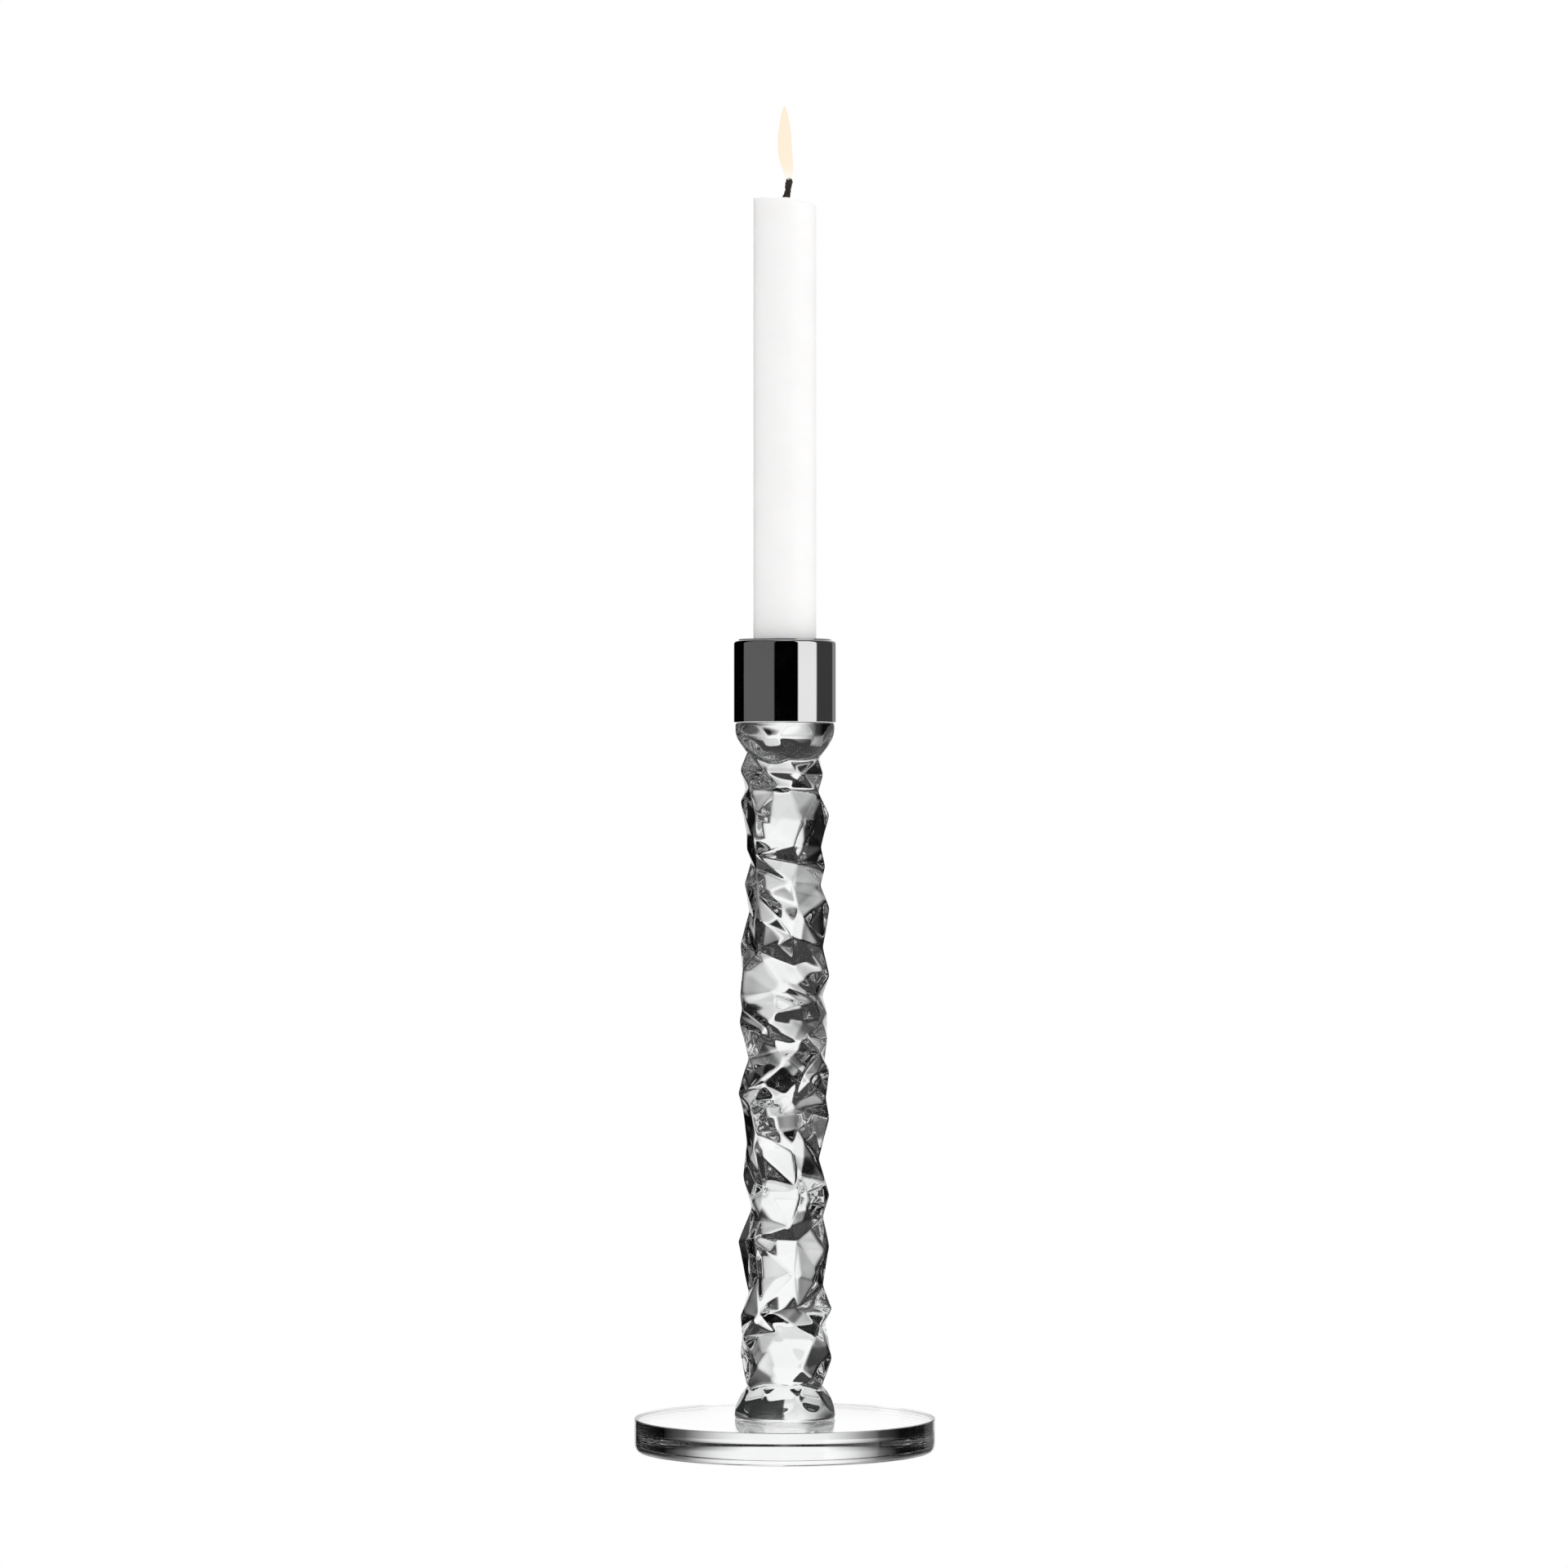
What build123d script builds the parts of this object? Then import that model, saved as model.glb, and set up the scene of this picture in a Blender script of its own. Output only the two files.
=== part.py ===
"""Glass candlestick: a clear foot plate, a chiselled glass stem, a polished metal cup and its candle.

The origin is the centre of the foot plate's underside, +Z is up and -Y is the front.
All sizes are in millimetres.
"""
from build123d import *
import os
from math import atan, cos, degrees, pi, radians, sin

# Foot plate
BASE_DIAMETER = 110.0
BASE_HEIGHT = 12.0
BASE_LOWER_ROUND = 3.0
BASE_UPPER_ROUND = 0.4

# Adhesive films
FOOT_BOND = 0.15
CUP_BOND = 0.15
BOND_SETBACK = 0.6  # the film stops this far inside the edge of the glass

# Stem
STEM_LENGTH = 253.7
SHAFT_RADIUS = 17.5  # the corners that the chisel left standing
DEEPEST_CUT = 7.5  # how far below them the deepest corners lie
FOOT_RADIUS = 18.5
FOOT_DOME_RADIUS = 16.0  # radius of the dome's profile
FOOT_DOME_HEIGHT = 14.0
COLLAR_RADIUS = 18.2
COLLAR_BAND = 5.0  # height of the collar above its corner
COLLAR_ROUND = 7.0
COLLAR_NECK_RADIUS = 9.0
COLLAR_HEIGHT = 18.0
STEM_EDGE_BEVEL = 0.3
FLAT_REACH = 40.0  # size of the blocks that grind the flats
COLLAR_FLAT_COUNT = 6
COLLAR_FLAT_START = -75.0  # degrees from the right to the first flat
COLLAR_FLAT_DEPTH = 1.7
COLLAR_FLAT_DROP = 5.0  # height of the flats' middle below the top of the stem
COLLAR_FLAT_TILT = -22.0  # degrees that the flats face up
FOOT_FLAT_COUNT = 9
FOOT_FLAT_START = -134.0
FOOT_FLAT_DEPTH = 0.75
FOOT_FLAT_RISE = 6.6
FOOT_FLAT_TILT = 27.0

# Candle cup and its liner
CUP_RADIUS = 18.8
CUP_HEIGHT = 30.0
CUP_SHOULDER_ROUND = 1.2
CUP_LOWER_ROUND = 0.4
CUP_FLOOR = 3.0
LINER_WALL = 0.9
LINER_FLOOR = 1.0
LINER_LIP = 0.5  # thickness of the lip that lies on the cup's top
LINER_LIP_INSET = 1.75  # the lip stops this far inside the cup's wall
SOCKET_CLEARANCE = 0.3  # between the candle and the socket's wall
SOCKET_MOUTH_BEVEL = 0.4

# Candle
CANDLE_RADIUS = 11.5
CANDLE_ABOVE_CUP = 161.7
CANDLE_BUTT_TAPER = 0.5  # how much narrower the butt's radius is at its end
CANDLE_SEAT_GAP = 0.3
BURNT_RIM_DROP = 2.7  # how much lower the right of the burnt rim lies than the left
MELT_POOL_DEPTH = 1.6
MELT_POOL_RIM = 1.5  # width of the wax left standing round the pool
WICK_RADIUS = 1.15
WICK_ABOVE_WAX = 9.5
WICK_LEAN = 12.0  # degrees that the burnt end leans to the right
WICK_BEND_RADIUS = 12.0

# Sizes that follow from those above
SOCKET_RADIUS = CANDLE_RADIUS + SOCKET_CLEARANCE
STEM_BOTTOM = BASE_HEIGHT + FOOT_BOND
STEM_TOP = STEM_BOTTOM + STEM_LENGTH
CUP_BOTTOM = STEM_TOP + CUP_BOND
CUP_TOP = CUP_BOTTOM + CUP_HEIGHT
LINER_BOTTOM = CUP_BOTTOM + CUP_FLOOR
LINER_TOP = CUP_TOP + LINER_LIP
CANDLE_BOTTOM = LINER_BOTTOM + LINER_FLOOR + CANDLE_SEAT_GAP
CANDLE_TOP = LINER_TOP + CANDLE_ABOVE_CUP
POOL_BOTTOM = CANDLE_TOP - MELT_POOL_DEPTH

# The chiselled shaft is a net of triangles between rows of six corners. Every other row is turned
# by half a corner, so the corners of one row stand between those of the next. From the foot up,
# each row gives the height at its left, its right and its front, in percent of the stem's length,
# the degrees by which it is turned, and how deep each corner is cut, in ninths of the deepest cut.
# The corners start at the right and go round by the front, the left and the back.
SHAFT_ROWS = (
    (4.8, 4.6, 4.9, 0, (2, 6, 2, 2, 5, 3)),
    (9.1, 8.8, 7.4, 8, (0, 1, 1, 1, 5, 0)),
    (11.6, 13.5, 12.8, 10, (1, 4, 1, 3, 8, 2)),
    (14.5, 15.7, 15.8, 8, (0, 7, 2, 1, 0, 8)),
    (18.5, 18.5, 21.0, -12, (3, 1, 5, 4, 3, 7)),
    (25.4, 24.4, 26.0, 10, (1, 6, 0, 0, 7, 1)),
    (29.5, 29.5, 28.0, -8, (3, 0, 7, 5, 0, 3)),
    (34.3, 32.1, 32.4, 12, (1, 0, 7, 2, 8, 2)),
    (39.4, 37.1, 38.6, -10, (5, 1, 3, 3, 0, 5)),
    (42.4, 43.4, 41.4, 8, (1, 7, 0, 3, 3, 9)),
    (44.7, 46.0, 46.0, -12, (2, 5, 0, 1, 8, 3)),
    (46.7, 49.8, 49.2, 7, (1, 0, 6, 0, 0, 7)),
    (51.2, 51.8, 53.0, 10, (1, 8, 4, 4, 2, 2)),
    (56.9, 54.3, 55.8, -6, (2, 4, 0, 1, 8, 4)),
    (58.5, 56.1, 58.6, 9, (0, 0, 1, 2, 6, 1)),
    (60.6, 58.3, 61.0, -10, (2, 0, 7, 1, 0, 8)),
    (64.5, 60.6, 62.8, 8, (3, 6, 1, 0, 4, 3)),
    (68.1, 63.7, 65.8, 10, (1, 8, 2, 1, 6, 0)),
    (72.9, 67.7, 69.8, -9, (3, 0, 4, 4, 0, 4)),
    (76.8, 73.3, 74.2, 8, (1, 6, 2, 3, 7, 0)),
    (79.9, 76.8, 77.4, -8, (4, 2, 5, 5, 8, 3)),
    (81.8, 79.4, 80.2, 7, (3, 7, 0, 4, 0, 6)),
    (84.0, 82.2, 82.6, -11, (4, 0, 3, 3, 4, 4)),
    (88.4, 87.0, 86.0, 9, (1, 0, 1, 1, 8, 6)),
    (90.7, 90.0, 90.6, -8, (5, 8, 1, 2, 0, 5)),
    (93.3, 92.6, 92.8, 7, (4, 2, 6, 1, 7, 2)),
    (95.9, 94.6, 95.2, 0, (4, 7, 2, 2, 6, 3)),
)
ROW_CORNERS = 6
CUT_STEPS = 9
SHAFT_END_RADIUS = 9.0  # the net's two end polygons, buried in the foot and in the collar
FOOT_BURIAL = 7.0
COLLAR_BURIAL = 7.0


def row_points(row, half_turn):
    """The six corners of one row of the shaft."""
    left, right, front, turn, cuts = row
    middle = (left + right) / 2
    points = []
    for i, cut in enumerate(cuts):
        angle = -radians(360 / ROW_CORNERS * (i + (0.5 if half_turn else 0)) + turn)
        radius = SHAFT_RADIUS - DEEPEST_CUT * cut / CUT_STEPS
        percent = middle + (right - left) / 2 * cos(angle) - (front - middle) * sin(angle)
        height = STEM_BOTTOM + STEM_LENGTH * percent / 100
        points.append(Vector(radius * cos(angle), radius * sin(angle), height))
    return points


def end_points(height):
    """The corners of one of the net's two level end polygons."""
    angles = [-2 * pi * i / ROW_CORNERS for i in range(ROW_CORNERS)]
    return [Vector(SHAFT_END_RADIUS * cos(a), SHAFT_END_RADIUS * sin(a), height) for a in angles]


def polygon(points):
    """A flat face with these corners."""
    return Face(Wire.make_polygon(points, close=True))


def band_faces(lower, upper, upper_turned):
    """The triangles between two rows of corners, the lower or the upper of which is turned half a corner."""
    faces = []
    for i in range(ROW_CORNERS):
        after = (i + 1) % ROW_CORNERS
        if upper_turned:
            faces.append(polygon([lower[i], upper[i], lower[after]]))
            faces.append(polygon([upper[i], upper[after], lower[after]]))
        else:
            faces.append(polygon([upper[i], lower[i], upper[after]]))
            faces.append(polygon([lower[i], lower[after], upper[after]]))
    return faces


def chiselled_shaft():
    """The faceted middle of the stem."""
    rows = [end_points(STEM_BOTTOM + FOOT_BURIAL)]
    for number, row in enumerate(SHAFT_ROWS):
        rows.append(row_points(row, half_turn=number % 2 == 0))
    rows.append(end_points(STEM_TOP - COLLAR_BURIAL))
    faces = [polygon(rows[0]), polygon(rows[-1])]
    for number in range(len(rows) - 1):
        faces += band_faces(rows[number], rows[number + 1], upper_turned=number % 2 == 0)
    return Solid(Shell(faces))


def flats(count, start, height, radius, tilt):
    """Blocks that grind flats round the stem, their middles on a circle at this height and radius."""
    blocks = []
    for i in range(count):
        place = Rot(0, 0, start + 360 / count * i) * Pos(radius, 0, height) * Rot(0, -tilt, 0)
        blocks.append(place * Pos(FLAT_REACH / 2, 0, 0) * Box(FLAT_REACH, FLAT_REACH, FLAT_REACH))
    return blocks


def stem_foot():
    """The round dome that the stem stands on."""
    centre = FOOT_RADIUS - FOOT_DOME_RADIUS
    top_radius = centre + (FOOT_DOME_RADIUS**2 - FOOT_DOME_HEIGHT**2) ** 0.5
    outline = make_face(
        Polyline((top_radius, FOOT_DOME_HEIGHT), (0, FOOT_DOME_HEIGHT), (0, 0), (FOOT_RADIUS, 0))
        + RadiusArc((FOOT_RADIUS, 0), (top_radius, FOOT_DOME_HEIGHT), -FOOT_DOME_RADIUS)
    )
    solid = revolve(Plane.XZ * outline, Axis.Z)
    solid = chamfer(solid.edges().sort_by(Axis.Z)[0], STEM_EDGE_BEVEL)
    middle = centre + (FOOT_DOME_RADIUS**2 - FOOT_FLAT_RISE**2) ** 0.5 - FOOT_FLAT_DEPTH
    for block in flats(FOOT_FLAT_COUNT, FOOT_FLAT_START, FOOT_FLAT_RISE, middle, FOOT_FLAT_TILT):
        solid = solid - block
    return Pos(0, 0, STEM_BOTTOM) * solid


def stem_collar():
    """The round collar under the cup."""
    outline = make_face(
        Polyline(
            (0, 0),
            (COLLAR_RADIUS, 0),
            (COLLAR_RADIUS, -COLLAR_BAND),
            (COLLAR_NECK_RADIUS, -COLLAR_HEIGHT),
            (0, -COLLAR_HEIGHT),
            close=True,
        )
    )
    corner = outline.vertices().sort_by_distance((COLLAR_RADIUS, -COLLAR_BAND))[0]
    outline = fillet(corner, COLLAR_ROUND)
    solid = revolve(Plane.XZ * outline, Axis.Z)
    solid = chamfer(solid.edges().sort_by(Axis.Z)[-1], STEM_EDGE_BEVEL)
    middle = COLLAR_RADIUS - COLLAR_FLAT_DEPTH
    for block in flats(COLLAR_FLAT_COUNT, COLLAR_FLAT_START, -COLLAR_FLAT_DROP, middle, COLLAR_FLAT_TILT):
        solid = solid - block
    return Pos(0, 0, STEM_TOP) * solid


def stem():
    """The solid glass stem: foot, chiselled shaft and collar in one casting."""
    return stem_foot() + chiselled_shaft() + stem_collar()


def base_disc():
    """The round foot plate."""
    disc = Cylinder(BASE_DIAMETER / 2, BASE_HEIGHT, align=(Align.CENTER, Align.CENTER, Align.MIN))
    lower = disc.edges().filter_by(GeomType.CIRCLE).sort_by(Axis.Z)[0]
    disc = fillet(lower, BASE_LOWER_ROUND)
    upper = disc.edges().filter_by(GeomType.CIRCLE).sort_by(Axis.Z)[-1]
    return fillet(upper, BASE_UPPER_ROUND)


def film(radius, bottom, thickness):
    """A round film of adhesive."""
    return Pos(0, 0, bottom) * Cylinder(
        radius - BOND_SETBACK, thickness, align=(Align.CENTER, Align.CENTER, Align.MIN)
    )


def candle_cup():
    """The turned metal cup, bored for its liner."""
    body = Pos(0, 0, CUP_BOTTOM) * Cylinder(
        CUP_RADIUS, CUP_HEIGHT, align=(Align.CENTER, Align.CENTER, Align.MIN)
    )
    top = body.edges().filter_by(GeomType.CIRCLE).sort_by(Axis.Z)[-1]
    body = fillet(top, CUP_SHOULDER_ROUND)
    bottom = body.edges().filter_by(GeomType.CIRCLE).sort_by(Axis.Z)[0]
    body = fillet(bottom, CUP_LOWER_ROUND)
    bore = Pos(0, 0, LINER_BOTTOM) * Cylinder(
        SOCKET_RADIUS + LINER_WALL, CUP_HEIGHT, align=(Align.CENTER, Align.CENTER, Align.MIN)
    )
    return body - bore


def cup_liner():
    """The thin socket for the candle, whose lip lies on top of the cup."""
    outer = SOCKET_RADIUS + LINER_WALL
    lip = CUP_RADIUS - LINER_LIP_INSET
    outline = make_face(
        Polyline(
            (0, LINER_BOTTOM),
            (outer, LINER_BOTTOM),
            (outer, CUP_TOP),
            (lip, CUP_TOP),
            (lip, LINER_TOP),
            (SOCKET_RADIUS + SOCKET_MOUTH_BEVEL, LINER_TOP),
            (SOCKET_RADIUS, LINER_TOP - SOCKET_MOUTH_BEVEL),
            (SOCKET_RADIUS, LINER_BOTTOM + LINER_FLOOR),
            (0, LINER_BOTTOM + LINER_FLOOR),
            close=True,
        )
    )
    return revolve(Plane.XZ * outline, Axis.Z)


def candle():
    """The wax candle: a tapered butt in the socket, a straight body and a burnt top with its melt pool."""
    butt_radius = CANDLE_RADIUS - CANDLE_BUTT_TAPER
    outline = make_face(
        Polyline(
            (0, CANDLE_BOTTOM),
            (butt_radius, CANDLE_BOTTOM),
            (CANDLE_RADIUS, LINER_TOP),
            (CANDLE_RADIUS, CANDLE_TOP),
            (0, CANDLE_TOP),
            close=True,
        )
    )
    solid = revolve(Plane.XZ * outline, Axis.Z)
    # the burnt rim falls to the right from a line beside the wick
    run = CANDLE_RADIUS - WICK_RADIUS
    slope = degrees(atan(BURNT_RIM_DROP / run))
    reach = 4 * CANDLE_RADIUS
    burnt = Pos(WICK_RADIUS, 0, CANDLE_TOP) * Rot(0, slope, 0) * Pos(0, 0, reach / 2)
    solid = solid - burnt * Box(reach, reach, reach)
    # the melt pool is a shallow part of a sphere
    pool = CANDLE_RADIUS - MELT_POOL_RIM
    ball = (pool**2 + MELT_POOL_DEPTH**2) / (2 * MELT_POOL_DEPTH)
    solid = solid - Pos(0, 0, POOL_BOTTOM + ball) * Sphere(ball)
    hole = Pos(0, 0, CANDLE_BOTTOM) * Cylinder(
        WICK_RADIUS, CANDLE_TOP - CANDLE_BOTTOM, align=(Align.CENTER, Align.CENTER, Align.MIN)
    )
    return solid - hole


def wick():
    """The wick: straight through the wax, its burnt end leaning to the right."""
    bend = WICK_BEND_RADIUS
    lean = radians(WICK_LEAN)
    bend_top = (bend * (1 - cos(lean)), POOL_BOTTOM + bend * sin(lean))
    run = (CANDLE_TOP + WICK_ABOVE_WAX - bend_top[1]) / cos(lean)
    tip = (bend_top[0] + run * sin(lean), bend_top[1] + run * cos(lean))
    path = Line((0, CANDLE_BOTTOM), (0, POOL_BOTTOM))
    path += RadiusArc((0, POOL_BOTTOM), bend_top, bend)
    path += Line(bend_top, tip)
    return sweep(Pos(0, 0, CANDLE_BOTTOM) * Circle(WICK_RADIUS), Plane.XZ * path)


def main():
    """Builds every piece and writes each to its own file."""
    pieces = {
        "base_disc": base_disc(),
        "foot_bond": film(FOOT_RADIUS, BASE_HEIGHT, FOOT_BOND),
        "stem": stem(),
        "cup_bond": film(COLLAR_RADIUS, STEM_TOP, CUP_BOND),
        "candle_cup": candle_cup(),
        "cup_liner": cup_liner(),
        "candle": candle(),
        "wick": wick(),
    }
    os.makedirs("parts", exist_ok=True)
    for name, piece in pieces.items():
        export_step(piece, f"parts/{name}.step")


main()
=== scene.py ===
import math

import bmesh
import bpy
from bpy.props import FloatProperty, FloatVectorProperty, IntProperty, PointerProperty
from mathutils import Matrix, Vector, noise


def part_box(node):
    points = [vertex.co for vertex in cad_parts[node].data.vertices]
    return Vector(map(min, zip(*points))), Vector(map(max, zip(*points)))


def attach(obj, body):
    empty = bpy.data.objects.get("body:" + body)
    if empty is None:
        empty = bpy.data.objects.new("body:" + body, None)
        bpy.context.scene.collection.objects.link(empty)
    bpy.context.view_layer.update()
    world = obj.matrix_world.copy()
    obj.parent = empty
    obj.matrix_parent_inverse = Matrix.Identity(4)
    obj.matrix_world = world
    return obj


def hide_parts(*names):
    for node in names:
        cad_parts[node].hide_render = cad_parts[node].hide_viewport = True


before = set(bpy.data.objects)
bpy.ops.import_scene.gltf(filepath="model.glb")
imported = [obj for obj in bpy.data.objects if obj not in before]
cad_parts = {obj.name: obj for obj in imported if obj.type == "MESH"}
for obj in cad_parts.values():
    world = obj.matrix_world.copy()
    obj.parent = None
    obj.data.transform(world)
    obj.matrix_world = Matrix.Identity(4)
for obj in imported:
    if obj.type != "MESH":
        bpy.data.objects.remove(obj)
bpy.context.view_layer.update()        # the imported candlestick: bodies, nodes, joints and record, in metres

bl_info = {
    "name": "Glass Candlestick",
    "version": (1, 0, 0),
    "blender": (4, 5, 0),
    "location": "View3D > Sidebar > Candlestick",
    "description": "Models a chiselled glass candlestick with its candle around the packed parts",
    "category": "Add Mesh",
}

MM = 0.001
WELD = 0.002 * MM        # points closer than this are one point
SAME_HEIGHT = 1e-6       # metres within which two heights are the same
CAP_CORNERS = 8          # a face of the plate with more corners than this is one of its round flats
STAND = "candlestick"    # the body of everything that stays on the table
CANDLE = "candle"        # the body that lifts out of the socket


# ---------------------------------------------------------------- sizes and colours

class GlassSettings(bpy.types.PropertyGroup):
    """The clear glass of the stem and the foot plate"""
    ior: FloatProperty(name="Refraction", description="Index of refraction of the glass",
                       default=1.53, min=1.0, max=2.0)
    tint: FloatVectorProperty(name="Tint", description="Colour of the glass", subtype="COLOR",
                              default=(0.985, 0.99, 0.992), min=0, max=1)
    steps: IntProperty(name="Steps Round", description="Faces round the stem", default=176, min=24)
    rings: IntProperty(name="Rings", description="Cuts along the stem, made in two rounds of this many",
                       default=20, min=4, max=30)
    soften: IntProperty(name="Softening", description="Rounds of smoothing that soften the chiselled ridges",
                        default=5, min=0, max=40)
    ripple: FloatProperty(name="Ripple", description="Height of the slow waves in the poured facets",
                          subtype="DISTANCE", unit="LENGTH", default=0.35 * MM)
    ripple_width: FloatProperty(name="Ripple Width", description="Width of those waves",
                                subtype="DISTANCE", unit="LENGTH", default=11 * MM)
    end_band: FloatProperty(name="Ground Ends", description="Height at each end that stays as ground",
                            subtype="DISTANCE", unit="LENGTH", default=1.2 * MM)
    bond_radius: FloatProperty(name="Bond Radius", description="Radius of the face bonded to the foot plate",
                               subtype="DISTANCE", unit="LENGTH", default=17.9 * MM)


class PlateSettings(bpy.types.PropertyGroup):
    """The round foot plate"""
    lower_round: FloatProperty(name="Lower Round", description="Radius of the lower edge",
                               subtype="DISTANCE", unit="LENGTH", default=3.0 * MM)
    lower_slope: FloatProperty(name="Lower Slope", description="Width of the lower round over its height",
                               default=0.5, min=0.2, max=1)
    upper_round: FloatProperty(name="Upper Round", description="Radius of the upper edge",
                               subtype="DISTANCE", unit="LENGTH", default=0.4 * MM)
    hold: FloatProperty(name="Edge Hold", description="Width of the narrow faces that keep the flats flat",
                        subtype="DISTANCE", unit="LENGTH", default=0.06 * MM)
    steps: IntProperty(name="Steps Round", description="Faces round the plate", default=256, min=24)


class MetalSettings(bpy.types.PropertyGroup):
    """The polished cup and its liner"""
    colour: FloatVectorProperty(name="Cup Colour", description="Colour of the polished cup", subtype="COLOR",
                                default=(0.80, 0.80, 0.81), min=0, max=1)
    liner_colour: FloatVectorProperty(name="Liner Colour", description="Colour of the turned liner",
                                      subtype="COLOR", default=(0.62, 0.62, 0.63), min=0, max=1)
    shoulder: FloatProperty(name="Shoulder", description="Radius of the cup's rounded shoulder",
                            subtype="DISTANCE", unit="LENGTH", default=1.2 * MM)
    lower_round: FloatProperty(name="Lower Round", description="Radius of the cup's lower edge",
                               subtype="DISTANCE", unit="LENGTH", default=0.4 * MM)
    floor: FloatProperty(name="Cup Floor", description="Thickness of the cup's floor",
                         subtype="DISTANCE", unit="LENGTH", default=3.0 * MM)
    liner_wall: FloatProperty(name="Liner Wall", description="Thickness of the liner's wall",
                              subtype="DISTANCE", unit="LENGTH", default=0.9 * MM)
    liner_floor: FloatProperty(name="Liner Floor", description="Thickness of the liner's floor",
                               subtype="DISTANCE", unit="LENGTH", default=1.0 * MM)
    liner_lip: FloatProperty(name="Liner Lip", description="Thickness of the lip on the cup's top",
                             subtype="DISTANCE", unit="LENGTH", default=0.5 * MM)
    socket: FloatProperty(name="Socket Radius", description="Radius of the candle's socket",
                          subtype="DISTANCE", unit="LENGTH", default=11.8 * MM)
    steps: IntProperty(name="Steps Round", description="Faces round the metal parts", default=160, min=24)


class CandleSettings(bpy.types.PropertyGroup):
    """The wax, the wick and the flame"""
    wax: FloatVectorProperty(name="Wax Colour", description="Colour of the wax", subtype="COLOR",
                             default=(0.94, 0.935, 0.93), min=0, max=1)
    char: FloatVectorProperty(name="Char Colour", description="Colour of the burnt wick", subtype="COLOR",
                              default=(0.016, 0.011, 0.008), min=0, max=1)
    flame: FloatVectorProperty(name="Flame Colour", description="Colour of the flame's body",
                               subtype="COLOR", default=(0.995, 0.87, 0.69), min=0, max=1)
    butt_taper: FloatProperty(name="Butt Taper", description="How much narrower the butt's end is in radius",
                              subtype="DISTANCE", unit="LENGTH", default=0.5 * MM)
    pool_depth: FloatProperty(name="Pool Depth", description="Depth of the melt pool",
                              subtype="DISTANCE", unit="LENGTH", default=1.6 * MM)
    pool_rim: FloatProperty(name="Pool Rim", description="Width of the rim round the melt pool",
                            subtype="DISTANCE", unit="LENGTH", default=1.5 * MM)
    rim_drop: FloatProperty(name="Rim Drop", description="How far the burnt rim falls to the right",
                            subtype="DISTANCE", unit="LENGTH", default=2.7 * MM)
    wick_radius: FloatProperty(name="Wick Radius", description="Radius of the wick",
                               subtype="DISTANCE", unit="LENGTH", default=1.15 * MM)
    wick_shown: FloatProperty(name="Wick Length", description="Height of the dark wick above the wax",
                              subtype="DISTANCE", unit="LENGTH", default=7.3 * MM)
    wick_lean: FloatProperty(name="Wick Lean", description="Lean of the burnt wick", subtype="ANGLE",
                             default=math.radians(12))
    flame_height: FloatProperty(name="Flame Height", description="Height of the flame",
                                subtype="DISTANCE", unit="LENGTH", default=28.7 * MM)
    flame_radius: FloatProperty(name="Flame Radius", description="Half of the flame's width",
                                subtype="DISTANCE", unit="LENGTH", default=2.75 * MM)


class StageSettings(bpy.types.PropertyGroup):
    """The floor, the cards seen through the glass and the camera"""
    distance: FloatProperty(name="Camera Distance", description="Distance from the camera to the stem",
                            subtype="DISTANCE", unit="LENGTH", default=2.2)
    height: FloatProperty(name="Camera Height", description="Height of the camera above the table",
                          subtype="DISTANCE", unit="LENGTH", default=0.2415)
    middle: FloatProperty(name="Middle Height", description="Height that the camera looks at",
                          subtype="DISTANCE", unit="LENGTH", default=0.2436)
    lens: FloatProperty(name="Lens", description="Focal length in millimetres", default=138.1, min=20)
    floor_radius: FloatProperty(name="Floor Radius", description="Radius of the pale floor",
                                subtype="DISTANCE", unit="LENGTH", default=6.0)
    patch_radius: FloatProperty(name="Patch Radius", description="Radius of the lit table under the glass",
                                subtype="DISTANCE", unit="LENGTH", default=60 * MM)
    patch_light: FloatProperty(name="Patch Light", description="How bright that part of the table is",
                               default=0.92, min=0, max=1)
    card_distance: FloatProperty(name="Card Distance", description="How far behind the stem the card is",
                                 subtype="DISTANCE", unit="LENGTH", default=130 * MM)
    card_height: FloatProperty(name="Card Height", description="Height of the low card",
                               subtype="DISTANCE", unit="LENGTH", default=60 * MM)
    card_reach: FloatProperty(name="Card Reach", description="Half of the low card's width",
                              subtype="DISTANCE", unit="LENGTH", default=50 * MM)


SETTINGS = {
    "candlestick_glass": GlassSettings,
    "candlestick_plate": PlateSettings,
    "candlestick_metal": MetalSettings,
    "candlestick_candle": CandleSettings,
    "candlestick_stage": StageSettings,
}


# ---------------------------------------------------------------- modelling helpers

def deselect_all():
    """Leaves nothing selected, so that the next operator acts on the new piece alone."""
    if bpy.context.mode != "OBJECT":
        bpy.ops.object.mode_set(mode="OBJECT")
    bpy.ops.object.select_all(action="DESELECT")


def single_point(name, place):
    """A new piece whose mesh is one vertex at this place, open in edit mode with the vertex selected."""
    deselect_all()
    bpy.ops.mesh.primitive_plane_add(size=0.01, location=(0, 0, 0))
    piece = bpy.context.object
    piece.name = name
    piece.data.name = name
    bpy.ops.object.mode_set(mode="EDIT")
    bpy.ops.mesh.select_mode(type="VERT")
    bpy.ops.mesh.select_all(action="SELECT")
    bpy.ops.mesh.merge(type="CENTER")
    bpy.ops.transform.translate(value=place)
    return piece


def spin_round(steps):
    """Spins the drawn profile once round Z, closes the seam and leaves edit mode."""
    bpy.ops.mesh.select_all(action="SELECT")
    bpy.ops.mesh.spin(steps=steps, angle=2 * math.pi, center=(0, 0, 0), axis=(0, 0, 1))
    bpy.ops.mesh.select_all(action="SELECT")
    bpy.ops.mesh.remove_doubles(threshold=WELD)
    bpy.ops.mesh.normals_make_consistent(inside=False)
    bpy.ops.object.mode_set(mode="OBJECT")


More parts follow.
